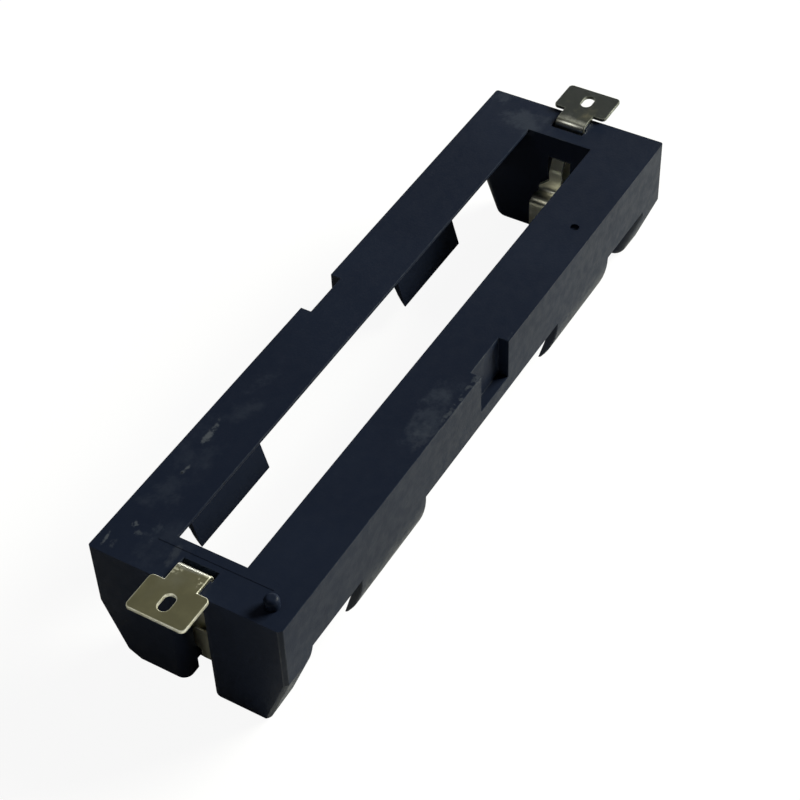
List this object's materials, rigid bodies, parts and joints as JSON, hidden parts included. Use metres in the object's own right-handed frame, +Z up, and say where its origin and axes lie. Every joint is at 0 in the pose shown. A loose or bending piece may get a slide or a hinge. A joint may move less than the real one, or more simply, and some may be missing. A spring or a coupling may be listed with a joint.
{
  "type": "cylindrical cell holder",
  "caption": "Open moulded cradle with curved retaining arms, a long floor window and folded spring contacts whose flat tabs solder to a board.",
  "frame": {"origin": "middle of the footprint, on the surface that the two end blocks stand on; the solder side is up", "axes": "+X along the cell from the end with the locating peg to the other end, +Y across the cell away from the peg's side, +Z up, out of the solder face"},
  "size_m": [0.0856, 0.0206, 0.0155],
  "materials": {
    "body_plastic": "fine satin moulding, blue-black",
    "contact_metal": "satin nickel plate with a yellowish tone"
  },
  "bodies": {
    "root": {"holder_body": "body_plastic", "near_contact": "contact_metal", "far_contact": "contact_metal"}
  },
  "joints": []
}
